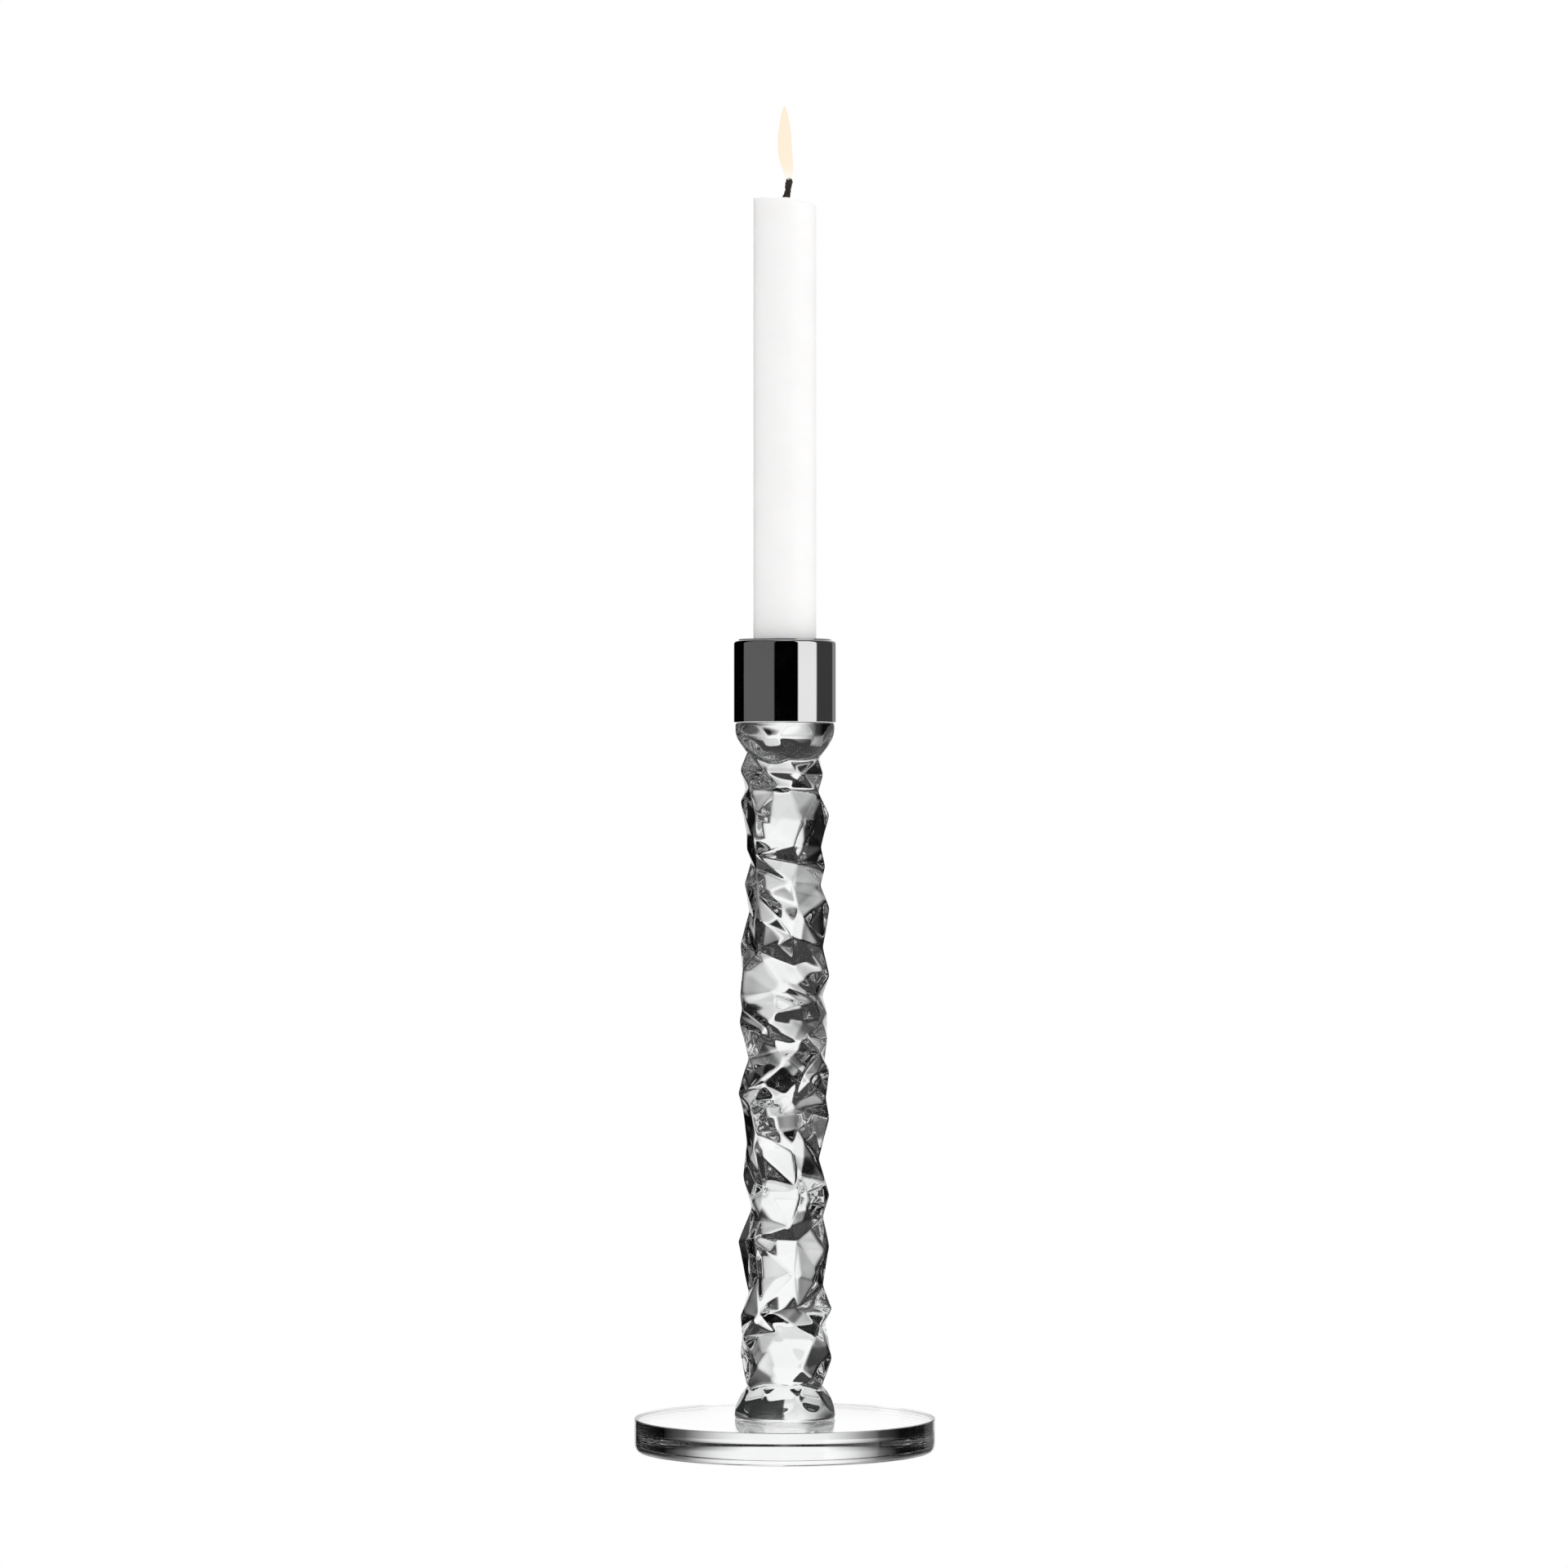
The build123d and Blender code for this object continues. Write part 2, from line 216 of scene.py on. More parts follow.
def turned(name, profile, steps):
    """A turned piece: the profile's (radius, height) points are drawn by extruding and spun about Z."""
    start = profile[0]
    piece = single_point(name, (start[0], 0, start[1]))
    for here, after in zip(profile, profile[1:]):
        step = (after[0] - here[0], 0, after[1] - here[1])
        bpy.ops.mesh.extrude_region_move(TRANSFORM_OT_translate={"value": step})
    spin_round(steps)
    return piece


def arc(centre, radius, start, end, count):
    """Points of a round stretch of a profile, from one angle in degrees to another."""
    points = []
    for i in range(count + 1):
        angle = math.radians(start + (end - start) * i / count)
        points.append((centre[0] + radius * math.cos(angle), centre[1] + radius * math.sin(angle)))
    return points


def pick(piece, kind, test):
    """Selects the vertices, edges or faces that pass the test, in edit mode."""
    bpy.ops.mesh.select_mode(type=kind)
    bpy.ops.mesh.select_all(action="DESELECT")
    mesh = bmesh.from_edit_mesh(piece.data)
    items = {"VERT": mesh.verts, "EDGE": mesh.edges, "FACE": mesh.faces}[kind]
    found = [item for item in items if test(item)]
    if not found:
        raise RuntimeError(f"nothing to pick on {piece.name}")
    for item in found:
        item.select_set(True)
    bmesh.update_edit_mesh(piece.data)


def reshape(piece, move):
    """Moves each vertex of a finished mesh to where move says."""
    for vertex in piece.data.vertices:
        vertex.co = move(vertex.co.copy())
    piece.data.update()


def apply_modifiers(piece):
    """Applies every modifier on the piece in turn."""
    deselect_all()
    bpy.context.view_layer.objects.active = piece
    piece.select_set(True)
    for modifier in list(piece.modifiers):
        bpy.ops.object.modifier_apply(modifier=modifier.name)


def smooth(piece, degrees):
    """Smooth shading, with an edge kept sharp where its faces turn by more than this."""
    deselect_all()
    bpy.context.view_layer.objects.active = piece
    piece.select_set(True)
    bpy.ops.object.shade_smooth_by_angle(angle=math.radians(degrees))


def glass_and_bond(piece, glass, bond, bonded):
    """Gives a glass piece its two materials, the bond's on the faces that pass the test."""
    piece.data.materials.append(glass)
    piece.data.materials.append(bond)
    for face in piece.data.polygons:
        face.material_index = 1 if bonded(face) else 0


def settle(piece, body, material, node=None):
    """Gives a finished piece its material and its body, and hides the part it stands for."""
    if not piece.data.materials:
        piece.data.materials.append(material)
    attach(piece, body)
    if node:
        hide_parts(node)


def smoothstep(low, high, value):
    """0 below low, 1 above high and a smooth rise between."""
    t = min(1.0, max(0.0, (value - low) / (high - low)))
    return t * t * (3 - 2 * t)


# ---------------------------------------------------------------- node helpers

def new_material(name):
    """An empty node material with its output and a Principled shader."""
    material = bpy.data.materials.new(name)
    material.use_nodes = True
    tree = material.node_tree
    return material, tree, tree.nodes["Principled BSDF"]


def add(tree, kind, **values):
    """A node with some of its properties set."""
    node = tree.nodes.new(kind)
    for key, value in values.items():
        setattr(node, key, value)
    return node


def wire(tree, source, target):
    """Joins an output to an input."""
    tree.links.new(source, target)


def value_node(tree, operation, *items):
    """A Math node on values or sockets."""
    node = add(tree, "ShaderNodeMath", operation=operation)
    for socket, item in zip(node.inputs, items):
        if isinstance(item, bpy.types.NodeSocket):
            wire(tree, item, socket)
        else:
            socket.default_value = item
    return node.outputs[0]


def ramp(tree, source, stops):
    """A colour ramp read at a value; each stop is its place and a grey or a colour."""
    node = add(tree, "ShaderNodeValToRGB")
    elements = node.color_ramp.elements
    while len(elements) > 1:
        elements.remove(elements[-1])
    for number, (place, shade) in enumerate(stops):
        colour = (shade, shade, shade, 1) if isinstance(shade, (int, float)) else (*shade, 1)
        element = elements[0] if number == 0 else elements.new(place)
        element.position = place
        element.color = colour
    wire(tree, source, node.inputs["Fac"])
    return node.outputs["Color"]


def noise_node(tree, vector, scale, detail=2.0):
    """A noise pattern, as many cells to the metre as scale says."""
    node = add(tree, "ShaderNodeTexNoise")
    node.inputs["Scale"].default_value = scale
    node.inputs["Detail"].default_value = detail
    wire(tree, vector, node.inputs["Vector"])
    return node.outputs["Fac"]


def clouded(tree, vector, target, scale, stops, detail=2.0):
    """Drives a socket by a noise pattern read through a ramp."""
    wire(tree, ramp(tree, noise_node(tree, vector, scale, detail), stops), target)


def object_coordinates(tree):
    """The piece's own coordinates, in metres."""
    return add(tree, "ShaderNodeTexCoord").outputs["Object"]


def bump(tree, shader, height, distance, strength=1.0):
    """Feeds a height to the shader's normal."""
    node = add(tree, "ShaderNodeBump")
    node.inputs["Strength"].default_value = strength
    node.inputs["Distance"].default_value = distance
    wire(tree, height, node.inputs["Height"])
    wire(tree, node.outputs["Normal"], shader.inputs["Normal"])


# ---------------------------------------------------------------- materials

def smudge_group():
    """A mask of faint wiped marks, shared by the glass and the metal."""
    name = "wiped marks"
    if name in bpy.data.node_groups:
        return bpy.data.node_groups[name]
    tree = bpy.data.node_groups.new(name, "ShaderNodeTree")
    face = tree.interface
    face.new_socket("Vector", in_out="INPUT", socket_type="NodeSocketVector")
    for label in ("Marks per Metre", "Clean", "Marked"):
        face.new_socket(label, in_out="INPUT", socket_type="NodeSocketFloat")
    face.new_socket("Value", in_out="OUTPUT", socket_type="NodeSocketFloat")
    given = add(tree, "NodeGroupInput")
    given_out = add(tree, "NodeGroupOutput")
    cloud = add(tree, "ShaderNodeTexNoise")
    cloud.inputs["Detail"].default_value = 5.0
    cloud.inputs["Distortion"].default_value = 0.6
    wire(tree, given.outputs["Vector"], cloud.inputs["Vector"])
    wire(tree, given.outputs["Marks per Metre"], cloud.inputs["Scale"])
    spread = add(tree, "ShaderNodeMapRange", interpolation_type="SMOOTHSTEP")
    spread.inputs["From Min"].default_value = 0.5
    spread.inputs["From Max"].default_value = 0.72
    wire(tree, cloud.outputs["Fac"], spread.inputs["Value"])
    wire(tree, given.outputs["Clean"], spread.inputs["To Min"])
    wire(tree, given.outputs["Marked"], spread.inputs["To Max"])
    wire(tree, spread.outputs["Result"], given_out.inputs["Value"])
    return tree


def smudges(tree, vector, per_metre, clean, marked):
    """Places the wiped marks in a material and returns their value."""
    node = add(tree, "ShaderNodeGroup", node_tree=smudge_group())
    node.inputs["Marks per Metre"].default_value = per_metre
    node.inputs["Clean"].default_value = clean
    node.inputs["Marked"].default_value = marked
    wire(tree, vector, node.inputs["Vector"])
    return node.outputs["Value"]


def clear_glass(name, settings, wave, wave_height):
    """Polished clear glass with slow waves in its surface and faint wiped marks."""
    material, tree, shader = new_material(name)
    where = object_coordinates(tree)
    shader.inputs["Metallic"].default_value = 0.0
    shader.inputs["Transmission Weight"].default_value = 1.0
    shader.inputs["IOR"].default_value = settings.ior
    tint = tuple(settings.tint)
    paler = tuple(min(1.0, c + 0.01) for c in tint)
    clouded(tree, where, shader.inputs["Base Color"], scale=30, stops=((0.3, tint), (0.7, paler)))
    marks = smudges(tree, where, per_metre=45, clean=0.0, marked=0.0015)
    wire(tree, marks, shader.inputs["Roughness"])
    bump(tree, shader, noise_node(tree, where, wave, detail=1.0), wave_height)
    return material


def bonded_face(name):
    """A face held to its neighbour by clear adhesive: light passes with no bend."""
    material, tree, shader = new_material(name)
    where = object_coordinates(tree)
    shader.inputs["Metallic"].default_value = 0.0
    shader.inputs["Transmission Weight"].default_value = 1.0
    shader.inputs["IOR"].default_value = 1.0
    clear = ((0.35, (0.975, 0.98, 0.98)), (0.65, (0.995, 0.998, 0.998)))
    clouded(tree, where, shader.inputs["Base Color"], scale=220, stops=clear)
    shader.inputs["Roughness"].default_value = 0.0
    return material


def adhesive_film(name):
    """The film itself: all but invisible, with a trace of haze."""
    material, tree, shader = new_material(name)
    where = object_coordinates(tree)
    haze = ((0.35, (0.9, 0.92, 0.92)), (0.65, (0.97, 0.98, 0.98)))
    clouded(tree, where, shader.inputs["Base Color"], scale=260, stops=haze)
    clouded(tree, where, shader.inputs["Roughness"], scale=400, stops=((0.3, 0.1), (0.7, 0.3)))
    shader.inputs["Alpha"].default_value = 0.02
    return material


def polished_metal(name, colour, roughness, groove_height):
    """Bright turned metal: fine rings left by the polishing wheel, and faint wiped marks."""
    material, tree, shader = new_material(name)
    where = object_coordinates(tree)
    shader.inputs["Metallic"].default_value = 1.0
    dim = tuple(c * 0.94 for c in colour)
    clouded(tree, where, shader.inputs["Base Color"], scale=25, stops=((0.35, dim), (0.65, tuple(colour))))
    marks = smudges(tree, where, per_metre=70, clean=roughness, marked=roughness + 0.035)
    wire(tree, marks, shader.inputs["Roughness"])
    flat = add(tree, "ShaderNodeMapping")
    flat.inputs["Scale"].default_value = (0.02, 0.02, 1.0)
    wire(tree, where, flat.inputs["Vector"])
    rings = noise_node(tree, flat.outputs["Vector"], scale=2600, detail=3.0)
    bump(tree, shader, rings, groove_height)
    return material


def candle_wax(name, settings):
    """Satin wax: a little translucent, with clouded colour, fine pits and faint wiped marks."""
    material, tree, shader = new_material(name)
    where = object_coordinates(tree)
    wax = tuple(settings.wax)
    shade = tuple(c * 0.965 for c in wax)
    clouds = ((0.35, shade), (0.65, wax))
    clouded(tree, where, shader.inputs["Base Color"], scale=55, stops=clouds, detail=4.0)
    shader.inputs["Subsurface Weight"].default_value = 0.35
    shader.inputs["Subsurface Radius"].default_value = (1.0, 0.85, 0.7)
    shader.inputs["Subsurface Scale"].default_value = 0.003
    shader.inputs["IOR"].default_value = 1.44
    shader.inputs["Specular IOR Level"].default_value = 0.4
    marks = smudges(tree, where, per_metre=90, clean=0.34, marked=0.48)
    wire(tree, marks, shader.inputs["Roughness"])
    bump(tree, shader, noise_node(tree, where, scale=500, detail=4.0), distance=0.06 * MM, strength=0.5)
    return material


def charred_cotton(name, settings):
    """A burnt braid: black with brown and ash on the strands."""
    material, tree, shader = new_material(name)
    where = object_coordinates(tree)
    char = tuple(settings.char)
    ash = tuple(min(1.0, c * 3.2 + 0.012) for c in char)
    flecks = ((0.42, char), (0.72, ash))
    clouded(tree, where, shader.inputs["Base Color"], scale=900, stops=flecks, detail=5.0)
    shader.inputs["Roughness"].default_value = 0.9
    bump(tree, shader, noise_node(tree, where, scale=2200, detail=4.0), distance=0.2 * MM)
    return material


def flame_light(name, settings, low, high):
    """The flame between two heights: a pale warm glow, thinner and whiter at its root."""
    material, tree, shader = new_material(name)
    where = object_coordinates(tree)
    rise = add(tree, "ShaderNodeSeparateXYZ")
    wire(tree, where, rise.inputs["Vector"])
    up = add(tree, "ShaderNodeMapRange")
    up.inputs["From Min"].default_value = low
    up.inputs["From Max"].default_value = high
    wire(tree, rise.outputs["Z"], up.inputs["Value"])
    flicker = value_node(tree, "MULTIPLY", noise_node(tree, where, scale=160), 0.08)
    along = value_node(tree, "ADD", up.outputs["Result"], flicker)
    body = tuple(settings.flame)
    pale = tuple(c + (1 - c) * 0.75 for c in body)
    glow = ramp(tree, along, ((0.04, pale), (0.3, body), (1.0, body)))
    cover = ramp(tree, along, ((0.02, 0.25), (0.2, 0.9), (0.95, 0.95)))
    shader.inputs["Base Color"].default_value = (0, 0, 0, 1)
    shader.inputs["Roughness"].default_value = 1.0
    shader.inputs["Specular IOR Level"].default_value = 0.0
    wire(tree, glow, shader.inputs["Emission Color"])
    shader.inputs["Emission Strength"].default_value = 1.0
    wire(tree, cover, shader.inputs["Alpha"])
    return material


# ---------------------------------------------------------------- pieces

class CANDLESTICK_OT_stem(bpy.types.Operator):
    """Models the chiselled stem: a spun tube drawn onto the cut stem, its ridges softened as if poured"""
    bl_idname = "candlestick.stem"
    bl_label = "Chiselled Stem"

    def execute(self, context):
        settings = context.scene.candlestick_glass
        low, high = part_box("stem")
        outside = high.x + 4 * MM     # the tube starts clear of the cut stem
        sliver = 0.01 * MM            # and this far short of each end
        piece = single_point("chiselled_stem", (outside, 0, low.z + sliver))
        rise = high.z - low.z - 2 * sliver
        bpy.ops.mesh.extrude_region_move(TRANSFORM_OT_translate={"value": (0, 0, rise)})
        for _ in range(2):
            bpy.ops.mesh.select_all(action="SELECT")
            bpy.ops.mesh.subdivide(number_cuts=settings.rings)
        spin_round(settings.steps)
        self.draw_onto_cut_stem(piece, settings, low, high)
        self.close_ends(piece, low, high)
        material = clear_glass("stem glass", settings, wave=70, wave_height=0.05 * MM)
        glass_and_bond(piece, material, bonded_face("stem bonded face"),
                       lambda face: face.normal.z < -0.99 and face.center.z < low.z + MM)
        smooth(piece, 50)
        settle(piece, STAND, material, "stem")
        return {"FINISHED"}

    def draw_onto_cut_stem(self, piece, settings, low, high):
        """Shrinks the tube onto the cut stem, then softens and ripples all but the ground ends."""
        kept = 0.2 * MM       # this much of each end isn't softened at all
        calm = 12 * MM        # the ripple grows to its full height over this much
        shaft = piece.vertex_groups.new(name="shaft")
        for vertex in piece.data.vertices:
            end = min(vertex.co.z - low.z, high.z - vertex.co.z)
            shaft.add([vertex.index], smoothstep(kept, settings.end_band, end), "REPLACE")
        wrap = piece.modifiers.new("wrap", "SHRINKWRAP")
        wrap.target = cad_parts["stem"]
        wrap.wrap_method = "PROJECT"
        wrap.use_negative_direction = True
        wrap.use_positive_direction = False
        soften = piece.modifiers.new("soften", "SMOOTH")
        soften.factor = 0.5
        soften.iterations = settings.soften
        soften.vertex_group = shaft.name
        apply_modifiers(piece)

        def rippled(place):
            end = min(place.z - low.z, high.z - place.z)
            height = noise.noise(place / settings.ripple_width) * settings.ripple * smoothstep(0, calm, end)
            outward = Vector((place.x, place.y, 0)).normalized()
            return place + outward * height

        reshape(piece, rippled)

    def close_ends(self, piece, low, high):
        """Caps the tube with a flat face at each end."""
        near = 0.3 * MM

        def open_edge(edge):
            return edge.is_boundary and abs(edge.verts[0].co.z - level) < near

        bpy.ops.object.mode_set(mode="EDIT")
        for level in (low.z, high.z):
            pick(piece, "EDGE", open_edge)
            bpy.ops.mesh.edge_face_add()
        bpy.ops.mesh.select_all(action="SELECT")
        bpy.ops.mesh.normals_make_consistent(inside=False)
        bpy.ops.object.mode_set(mode="OBJECT")


class CANDLESTICK_OT_plate(bpy.types.Operator):
    """Turns the round foot plate, with its soft lower edge and crisp upper one"""
    bl_idname = "candlestick.plate"
    bl_label = "Foot Plate"

    def execute(self, context):
        settings = context.scene.candlestick_plate
        glass = context.scene.candlestick_glass
        low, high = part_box("base_disc")
        radius = (high.x - low.x) / 2
        deselect_all()
        bpy.ops.mesh.primitive_cylinder_add(vertices=settings.steps, radius=radius, depth=high.z - low.z,
                                            location=(0, 0, (low.z + high.z) / 2))
        piece = bpy.context.object
        piece.name = piece.data.name = "foot_plate"
        bpy.ops.object.transform_apply(location=True, rotation=True, scale=True)
        bpy.ops.object.mode_set(mode="EDIT")
        for level, size, segments in ((low.z, settings.lower_round, 12), (high.z, settings.upper_round, 4)):
            pick(piece, "EDGE", lambda e: all(abs(v.co.z - level) < SAME_HEIGHT for v in e.verts))
            bpy.ops.mesh.bevel(offset=size, segments=segments, affect="EDGES")
        hold = settings.hold
        for level in (low.z + settings.lower_round + hold, high.z - settings.upper_round - hold):
            bpy.ops.mesh.select_mode(type="VERT")
            bpy.ops.mesh.select_all(action="SELECT")
            bpy.ops.mesh.bisect(plane_co=(0, 0, level), plane_no=(0, 0, 1), threshold=SAME_HEIGHT)
        for up in (1, -1):
            pick(piece, "FACE", lambda f: f.normal.z * up > 0.999 and len(f.verts) > CAP_CORNERS)
            bpy.ops.mesh.inset(thickness=hold)
        pick(piece, "FACE", lambda f: f.normal.z > 0.999 and len(f.verts) > CAP_CORNERS)
        bpy.ops.mesh.inset(thickness=radius - settings.upper_round - hold - glass.bond_radius)
        bpy.ops.object.mode_set(mode="OBJECT")

        def steeper(place):
            """Draws the lower round out towards the wall, so that it stands steeper."""
            out = math.hypot(place.x, place.y)
            if place.z > low.z + settings.lower_round or out < MM:
                return place
            share = (radius - (radius - out) * settings.lower_slope) / out
            return Vector((place.x * share, place.y * share, place.z))

        reshape(piece, steeper)
        material = clear_glass("foot plate glass", glass, wave=12, wave_height=0.002 * MM)
        glass_and_bond(piece, material, bonded_face("plate bonded face"),
                       lambda face: face.normal.z > 0.99 and len(face.vertices) > CAP_CORNERS)
        smooth(piece, 40)
        settle(piece, STAND, material, "base_disc")
        return {"FINISHED"}


class CANDLESTICK_OT_bonds(bpy.types.Operator):
    """Gives the two clear adhesive films their finish"""
    bl_idname = "candlestick.bonds"
    bl_label = "Adhesive Films"

    def execute(self, context):
        material = adhesive_film("clear adhesive")
        for name in ("foot_bond", "cup_bond"):
            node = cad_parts[name]
            node.data.materials.clear()
            node.data.materials.append(material)
        return {"FINISHED"}


class CANDLESTICK_OT_cup(bpy.types.Operator):
    """Turns the polished metal cup"""
    bl_idname = "candlestick.cup"
    bl_label = "Candle Cup"

    def execute(self, context):
        settings = context.scene.candlestick_metal
        low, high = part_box("candle_cup")
        radius = (high.x - low.x) / 2
        bore = settings.socket + settings.liner_wall
        edge = settings.lower_round
        shoulder = settings.shoulder
        profile = [(0, low.z)]
        profile += arc((radius - edge, low.z + edge), edge, start=-90, end=0, count=5)
        profile += arc((radius - shoulder, high.z - shoulder), shoulder, start=0, end=90, count=12)
        profile += [(bore, high.z), (bore, low.z + settings.floor), (0, low.z + settings.floor)]
        piece = turned("polished_cup", profile, settings.steps)
        smooth(piece, 35)
        material = polished_metal("polished metal", tuple(settings.colour), roughness=0.035,
                                  groove_height=0.004 * MM)
        settle(piece, STAND, material, "candle_cup")
        return {"FINISHED"}


class CANDLESTICK_OT_liner(bpy.types.Operator):
    """Turns the thin liner whose lip lies on top of the cup"""
    bl_idname = "candlestick.liner"
    bl_label = "Cup Liner"

    def execute(self, context):
        settings = context.scene.candlestick_metal
        low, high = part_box("cup_liner")
        socket = settings.socket
        wall = socket + settings.liner_wall
        lip = (high.x - low.x) / 2
        edge = 0.18 * MM
        mouth = 0.4 * MM
        under = high.z - settings.liner_lip
        profile = [(0, low.z), (wall, low.z), (wall, under), (lip - edge, under)]
        profile += arc((lip - edge, under + edge), edge, start=-60, end=0, count=3)
        profile += arc((lip - edge, high.z - edge), edge, start=0, end=90, count=4)
        profile += arc((socket + mouth, high.z - mouth), mouth, start=90, end=180, count=6)
        profile += [(socket, low.z + settings.liner_floor), (0, low.z + settings.liner_floor)]
        piece = turned("socket_liner", profile, settings.steps)
        smooth(piece, 35)
        material = polished_metal("liner metal", tuple(settings.liner_colour), roughness=0.16,
                                  groove_height=0.01 * MM)
        settle(piece, STAND, material, "cup_liner")
        return {"FINISHED"}


class CANDLESTICK_OT_wax(bpy.types.Operator):
    """Turns the wax candle, then melts its top down on one side"""
    bl_idname = "candlestick.wax"
    bl_label = "Wax Candle"

    def execute(self, context):
        settings = context.scene.candlestick_candle
        low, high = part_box("candle")
        radius = (high.x - low.x) / 2
        top = high.z
        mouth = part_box("cup_liner")[1].z
        pool = radius - settings.pool_rim
        ball = (pool ** 2 + settings.pool_depth ** 2) / (2 * settings.pool_depth)
        middle = top - settings.pool_depth + ball
        hole = settings.wick_radius
        lip = 0.5 * MM
        butt = radius - settings.butt_taper
        chamfer = 0.6 * MM
        profile = [(hole, low.z), (butt - chamfer, low.z), (butt, low.z + chamfer), (radius, mouth)]
        rings = 40
        last_ring = top - 2 * MM
        profile += [(radius, mouth + (last_ring - mouth) * i / rings) for i in range(1, rings + 1)]
        profile += arc((radius - lip, top - lip), lip, start=0, end=90, count=6)
        dish = 14
        for i in range(dish + 1):
            across = pool + (hole - pool) * i / dish
            profile.append((across, middle - math.sqrt(ball ** 2 - across ** 2)))
        profile.append((hole, low.z))
        piece = turned("wax_candle", profile, steps=128)
        run = radius - hole
        sag = 0.9 * MM                # how far the front of the rim sinks
        drip = 0.25 * MM              # height and width of the rim's small waves
        drip_width = 3 * MM
        dent = 0.05 * MM              # depth and width of the faint dents in the side
        dent_width = 9 * MM

        def melted(place):
            """Lowers the burnt rim on one side and dents the wax above the cup a little."""
            share = smoothstep(top - 9 * MM, top - 1.5 * MM, place.z)
            fall = settings.rim_drop * min(1.0, max(0.0, (place.x - hole) / run))
            wave = drip * (1 + noise.noise(place / drip_width))
            bow = sag * max(0.0, -place.y / radius) + wave
            in_wick_hole = math.hypot(place.x, place.y) < hole + 0.1 * MM
            outward = Vector((0, 0, 0))
            if place.z > mouth + 3 * MM and not in_wick_hole:
                depth = dent * noise.noise(place / dent_width)
                outward = Vector((place.x, place.y, 0)).normalized() * depth
            return place + outward - Vector((0, 0, (fall + bow) * share))

        reshape(piece, melted)
        smooth(piece, 50)
        settle(piece, CANDLE, candle_wax("candle wax", settings), "candle")
        return {"FINISHED"}


class CANDLESTICK_OT_wick(bpy.types.Operator):
    """Models the braided wick, leaning and charred where it stands out of the wax"""
    bl_idname = "candlestick.wick"
    bl_label = "Wick"

    def execute(self, context):
        settings = context.scene.candlestick_candle
        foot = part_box("wick")[0].z
        wax_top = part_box("candle")[1].z - settings.pool_depth
        radius = settings.wick_radius
        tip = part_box("candle")[1].z + settings.wick_shown
        start = wax_top - MM          # the rings start a little way down in the wax
        rise = tip - wax_top + MM
        round_share = 0.22            # the share of the rise that the rounded tip takes
        profile = [(0, foot), (radius, foot), (radius, start)]
        rings = 26
        for i in range(1, rings + 1):
            up = i / rings
            swell = radius * (1.0 + 0.08 * math.sin(up * 9))
            taper = math.sqrt(max(0.0, 1 - max(0.0, (up - (1 - round_share)) / round_share) ** 2))
            profile.append((swell * taper, start + rise * up))
        piece = turned("burnt_wick", profile, steps=40)
        strands = 5
        twist = 0.9 * MM              # the strands turn by one radian in this height
        crumb = 0.7 * MM
        bend = 0.25 * MM
        bend_height = 2.2 * MM
        lean = math.tan(settings.wick_lean)

        def braided(place):
            """Raises the strands, crumbles the surface and leans the wick over."""
            up = max(0.0, place.z - wax_top)
            angle = math.atan2(place.y, place.x)
            out = math.hypot(place.x, place.y)
            free = smoothstep(0, 1.2 * MM, up)
            strand = math.cos(strands * angle + place.z / twist) * 0.09 * radius * free
            crumble = noise.noise(place / crumb) * 0.3 * radius * free
            out = out + (strand + crumble) * min(1.0, out / radius)
            shift = lean * up + bend * math.sin(up / bend_height) * free
            return Vector((out * math.cos(angle) + shift, out * math.sin(angle), place.z))

        reshape(piece, braided)
        smooth(piece, 60)
        settle(piece, CANDLE, charred_cotton("charred cotton", settings), "wick")
        return {"FINISHED"}


class CANDLESTICK_OT_flame(bpy.types.Operator):
    """Models the slim flame that stands on the wick"""
    bl_idname = "candlestick.flame"
    bl_label = "Flame"

    def execute(self, context):
        settings = context.scene.candlestick_candle
        below_tip = 2.4 * MM          # the flame starts this far below the wick's tip
        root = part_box("candle")[1].z + settings.wick_shown - below_tip
        height = settings.flame_height
        rings = 36
        drop = 0.93                   # below 1 the widest place moves down
        fullness = 0.66               # below 1 the outline is fuller than a sine
        profile = []
        for i in range(rings + 1):
            up = i / rings
            width = math.sin(math.pi * up ** drop) ** fullness * (1 - 0.1 * up)
            profile.append((settings.flame_radius * max(0.0, width), root + height * up))
        profile[0] = (0, profile[0][1])
        profile[-1] = (0, profile[-1][1])
        piece = turned("flame", profile, steps=40)
        lean = math.tan(settings.wick_lean) * settings.wick_shown

        def leaning(place):
            """Sets the flame's root on the leaning wick and its tip almost above the candle."""
            up = (place.z - root) / height
            return place + Vector((lean * (1 - smoothstep(0, 0.5, up)) - 0.1 * MM * up, 0, 0))

        reshape(piece, leaning)
        smooth(piece, 180)
        glow = flame_light("flame light", settings, root, root + height)
        settle(piece, CANDLE, glow)
        return {"FINISHED"}


# ---------------------------------------------------------------- stage

def studio_bands(tree, turn, stops):
    """The studio's upright cards as they stand round the object, one ring of grey values."""
    places = [((angle + 180) / 360, shade) for angle, shade in stops]
    return ramp(tree, turn, places)


def card_stops(cards, soft):
    """Ramp stops for cards that meet edge to edge, each a start angle and its grey."""
    stops = [(-180, cards[0][1])]
    for (_, before), (edge, after) in zip(cards, cards[1:]):
        stops += [(edge - soft, before), (edge + soft, after)]
    return stops + [(180, cards[-1][1])]


